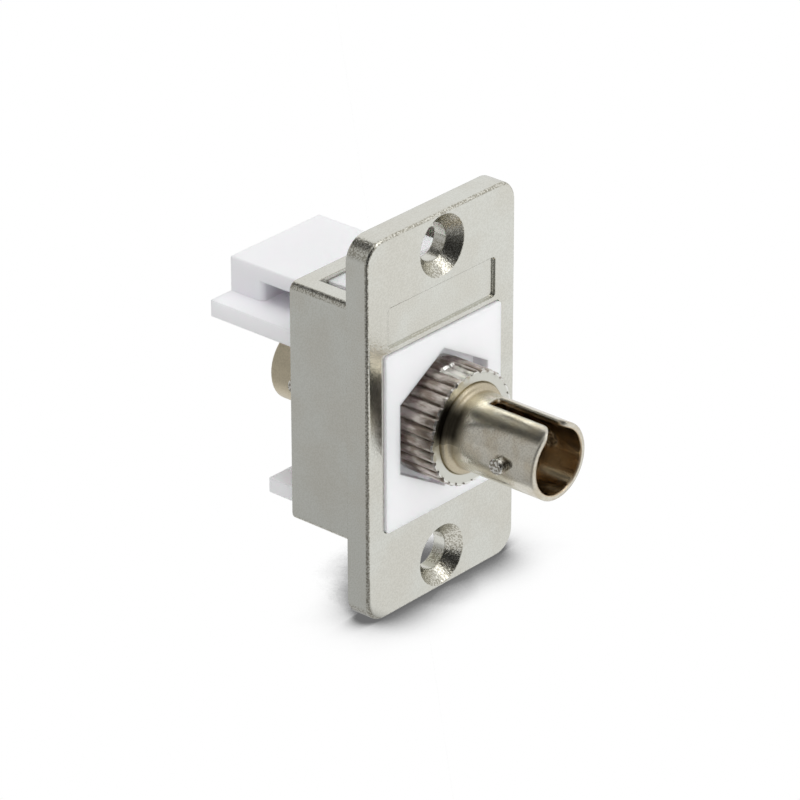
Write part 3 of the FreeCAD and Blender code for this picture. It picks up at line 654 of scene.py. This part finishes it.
def turn_piece(name, outline, points_around):
    """A closed turned piece: an outline of radius and place along Y, taken round the port."""
    start_modelling()
    radius, place = outline[0]
    bpy.ops.mesh.primitive_circle_add(vertices=points_around, radius=radius,
                                      location=(0, place, PORT_HEIGHT),
                                      rotation=(math.pi / 2, 0, 0))
    piece = bpy.context.object
    piece.name = piece.data.name = name
    bpy.ops.object.transform_apply(location=True, rotation=True, scale=True)
    bpy.ops.object.mode_set(mode="EDIT")
    bpy.ops.mesh.select_mode(type="VERT")
    bpy.ops.mesh.select_all(action="SELECT")
    for new_radius, new_place in outline[1:]:
        bpy.ops.mesh.extrude_region()
        draw_in(new_radius / radius)
        bpy.ops.transform.translate(value=(0, new_place - place, 0))
        radius, place = new_radius, new_place
    bpy.ops.mesh.select_all(action="DESELECT")
    bpy.ops.mesh.select_mode(type="EDGE")
    bpy.ops.mesh.select_non_manifold()
    bpy.ops.mesh.bridge_edge_loops()
    bpy.ops.mesh.select_mode(type="VERT")
    bpy.ops.mesh.select_all(action="SELECT")
    bpy.ops.mesh.normals_make_consistent(inside=False)
    return piece


def finish_piece(piece, slot, smooth_under, *nodes):
    """Shades a new piece, gives it its finish and puts it in the place of its nodes."""
    bpy.ops.object.mode_set(mode="OBJECT")
    bpy.ops.object.shade_smooth_by_angle(angle=math.radians(smooth_under))
    piece.data.materials.clear()
    piece.data.materials.append(FINISHES[slot])
    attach(piece, "root")
    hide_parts(*nodes)
    bpy.ops.object.select_all(action="DESELECT")


def turn_nut():
    """The nut before it is knurled: a turned ring with a burr along its front edge."""
    front_chamfer = 0.10 * MM
    back_chamfer = 0.06 * MM
    burr_height = 0.05 * MM
    burr_foot = 0.25 * MM
    face_ring = 0.60 * MM
    thread_mouth = 0.12 * MM
    thread_radius = NECK_RADIUS + 0.004 * MM
    side_rings = 16

    side_start = NUT_FRONT + front_chamfer
    side_step = (NUT_BACK - back_chamfer - side_start) / side_rings
    outline = [
        (thread_radius, NUT_FRONT + thread_mouth),
        (thread_radius + thread_mouth, NUT_FRONT),
        (NUT_RADIUS - face_ring, NUT_FRONT),
        (NUT_RADIUS - burr_foot, NUT_FRONT),
        (NUT_RADIUS - front_chamfer, NUT_FRONT - burr_height),
    ]
    outline += [(NUT_RADIUS, side_start + side_step * ring) for ring in range(side_rings + 1)]
    outline += [(NUT_RADIUS - back_chamfer, NUT_BACK), (thread_radius, NUT_BACK)]
    return turn_piece("nut", outline, RIBS * POINTS_PER_RIB)


def knurl_nut(nut):
    """The ribs: each line of points along the side sinks more, the nearer it is to a groove."""
    pitch = 360 / RIBS
    rim = NUT_RADIUS - 0.15 * MM
    near_enough = 0.1

    for step in range(1, POINTS_PER_RIB // 2 + 1):
        share = step / (POINTS_PER_RIB / 2)
        from_groove = (1 - share) * pitch / 2

        def on_this_line(place):
            radius, angle = around_port(place)
            turn = (angle - 90) % pitch
            lines = (from_groove, pitch - from_groove, pitch + from_groove)
            return radius > rim and min(abs(turn - line) for line in lines) < near_enough

        select_points(nut, on_this_line)
        draw_in(1 - GROOVE_DEPTH * share ** 3 / NUT_RADIUS)


def dent_nut(nut):
    """The dent: ribs knocked down behind the nut's front rim, with a raised lip behind them."""
    knocked_down = 0.965
    lip_width = 0.35 * MM
    lip_angle = 2.0
    lip_push = 0.08 * MM
    dent_raggedness = 0.05 * MM
    rim_raggedness = 0.045 * MM
    outer = below_ribs(0.5)

    def in_dent(place):
        radius, angle = around_port(place)
        return (radius > outer and DENT_ANGLES[0] < angle < DENT_ANGLES[1]
                and behind_nut_face(0.05) < place.y < DENT_END)

    def on_lip(place):
        radius, angle = around_port(place)
        behind = DENT_END <= place.y < DENT_END + lip_width
        beside = DENT_ANGLES[0] - lip_angle < angle <= DENT_ANGLES[0]
        across = DENT_ANGLES[0] - lip_angle < angle < DENT_ANGLES[1]
        return (radius > outer and behind_nut_face(0.6) < place.y < DENT_END + lip_width
                and ((behind and across) or beside))

    def on_front_rim(place):
        return around_port(place)[0] > outer and place.y < behind_nut_face(0.15)

    select_points(nut, in_dent)
    draw_in(knocked_down)
    bpy.ops.transform.vertex_random(offset=dent_raggedness, seed=4)
    select_points(nut, on_lip)
    bpy.ops.transform.translate(value=(0, -lip_push, 0))
    bpy.ops.transform.vertex_random(offset=dent_raggedness, seed=7)
    select_points(nut, on_front_rim)
    bpy.ops.transform.vertex_random(offset=rim_raggedness, seed=11)


def make_nut():
    """The knurled nut: thirty rounded ribs with narrow grooves, and a dent in its top."""
    nut = turn_nut()
    knurl_nut(nut)
    dent_nut(nut)
    bpy.ops.mesh.select_all(action="SELECT")
    bpy.ops.mesh.normals_make_consistent(inside=False)
    smooth_under = 28
    finish_piece(nut, "nut_nickel", smooth_under, "knurled_nut")


def openness(tree, reach):
    """How open the air above the floor is within a reach: 0 where something covers it."""
    node = add_node(tree, "ShaderNodeAmbientOcclusion", samples=16)
    feed(tree, node.inputs["Distance"], reach)
    return node.outputs["AO"]


def mirrored_rays(tree, rays):
    """Marks the rays that a surface mirrors or lets through."""
    return calc(tree, "MAXIMUM", rays.outputs["Is Glossy Ray"],
                rays.outputs["Is Transmission Ray"])


def glow_shader(tree, strength):
    """A plain shader that shines with a strength."""
    node = add_node(tree, "ShaderNodeEmission")
    feed(tree, node.inputs["Strength"], strength)
    return node.outputs[0]


def either(tree, share, first, second):
    """One shader or the other."""
    node = add_node(tree, "ShaderNodeMixShader")
    for socket, source in zip(node.inputs, (share, first, second)):
        feed(tree, socket, source)
    return node.outputs[0]


def pale_floor_finish():
    """White with a soft shadow to the camera, the studio in mirrors, and pale grey to light."""
    material = bpy.data.materials.new("pale floor")
    material.use_nodes = True
    material.cycles.emission_sampling = "NONE"
    tree = material.node_tree
    tree.nodes.clear()

    foot = spread(tree, openness(tree, FOOT_REACH), 0.47, 0.97, FOOT_GREY, 1.0)
    under = spread(tree, openness(tree, UNDER_REACH), 0.40, 0.50, UNDER_GREY, 1.0)
    shown = glow_shader(tree, calc(tree, "MAXIMUM", times(tree, foot, under), UNDER_GREY))

    mirroring_spot = Vector((-6.5, 0, 4)) * MM
    seen = add_node(tree, "ShaderNodeVectorMath", operation="SUBTRACT")
    feed(tree, seen.inputs[0], object_place(tree))
    feed(tree, seen.inputs[1], mirroring_spot)
    studio = use_effect(tree, STUDIO_GLOW, direction=seen.outputs[0])["Brightness"]
    lit = add_node(tree, "ShaderNodeBsdfDiffuse")
    feed(tree, lit.inputs["Color"], FLOOR_COLOUR)

    rays = add_node(tree, "ShaderNodeLightPath")
    unseen = either(tree, mirrored_rays(tree, rays), lit.outputs[0], glow_shader(tree, studio))
    output = add_node(tree, "ShaderNodeOutputMaterial")
    feed(tree, output.inputs["Surface"],
         either(tree, rays.outputs["Is Camera Ray"], unseen, shown))
    return material


def make_floor():
    """The floor that the part stands on."""
    bpy.ops.object.select_all(action="DESELECT")
    bpy.ops.mesh.primitive_plane_add(size=FLOOR_SIZE, location=(0, 0, FLOOR_HEIGHT))
    floor = bpy.context.object
    floor.name = "studio_floor"
    floor.data.materials.append(pale_floor_finish())


def make_sky():
    """The studio around the object: brighter to the right and above, white to the camera."""
    world = bpy.data.worlds.new("studio")
    bpy.context.scene.world = world
    world.use_nodes = True
    world.cycles.sampling_method = "NONE"
    tree = world.node_tree
    tree.nodes.clear()
    way = add_node(tree, "ShaderNodeTexCoord").outputs["Generated"]
    studio = use_effect(tree, STUDIO_GLOW, direction=way)["Brightness"]
    rays = add_node(tree, "ShaderNodeLightPath")
    unseen = between(tree, mirrored_rays(tree, rays), SKY_LIGHT, studio)
    light = add_node(tree, "ShaderNodeBackground")
    feed(tree, light.inputs["Strength"],
         between(tree, rays.outputs["Is Camera Ray"], unseen, 1.0))
    output = add_node(tree, "ShaderNodeOutputWorld")
    feed(tree, output.inputs["Surface"], light.outputs[0])


def add_softbox(name, way, distance, size, brightness, mirrored=True):
    """A soft lamp in a given direction from the object, turned towards it."""
    lamp = bpy.data.lights.new(name, "AREA")
    lamp.shape = "RECTANGLE"
    lamp.size = lamp.size_y = size
    lamp.energy = brightness * math.pi * size * size
    holder = bpy.data.objects.new(name, lamp)
    bpy.context.scene.collection.objects.link(holder)
    direction = Vector(way).normalized()
    holder.location = direction * distance
    holder.rotation_euler = direction.to_track_quat("Z", "Y").to_euler()
    holder.visible_glossy = mirrored


def light_studio():
    """A lamp high at the front, and two for the plastic, which the metal doesn't mirror."""
    add_softbox("high_softbox", way=(0.32, -0.62, 0.72), distance=0.6, size=0.24,
                brightness=1.6)
    add_softbox("top_softbox", way=(-0.10, -0.10, 0.99), distance=0.6, size=0.40,
                brightness=2.7, mirrored=False)
    add_softbox("front_softbox", way=(-0.05, -1.0, 0.05), distance=0.7, size=0.30,
                brightness=8.5, mirrored=False)


def set_camera():
    """The photograph's viewpoint, worked out from its angle, distance and framing."""
    azimuth = math.radians(CAMERA_AZIMUTH)
    elevation = math.radians(CAMERA_ELEVATION)
    roll = math.radians(CAMERA_ROLL)
    back = Vector((
        math.sin(azimuth) * math.cos(elevation),
        -math.cos(azimuth) * math.cos(elevation),
        math.sin(elevation),
    ))
    level = Vector((math.cos(azimuth), math.sin(azimuth), 0))
    upright = back.cross(level)
    right = level * math.cos(roll) + upright * math.sin(roll)
    up = upright * math.cos(roll) - level * math.sin(roll)
    pixels_per_metre = CAMERA_LENS / FILM_WIDTH * FRAME_PIXELS / (CAMERA_DISTANCE * MM)
    across = (AIM_SPOT[0] - FRAME_PIXELS / 2) / pixels_per_metre
    down = (AIM_SPOT[1] - FRAME_PIXELS / 2) / pixels_per_metre
    aim = Vector((0, PLATE_FRONT, PORT_HEIGHT))
    place = aim + back * CAMERA_DISTANCE * MM - right * across + up * down

    camera = bpy.data.cameras.new("photo_camera")
    camera.lens = CAMERA_LENS
    camera.sensor_width = FILM_WIDTH
    holder = bpy.data.objects.new("photo_camera", camera)
    bpy.context.scene.collection.objects.link(holder)
    turn = Matrix((right, up, back)).transposed()
    holder.matrix_world = Matrix.Translation(place) @ turn.to_4x4()
    bpy.context.scene.camera = holder


dress_frame_nodes()
make_nut()
make_floor()
make_sky()
light_studio()
set_camera()
bpy.context.scene.view_settings.view_transform = "Standard"
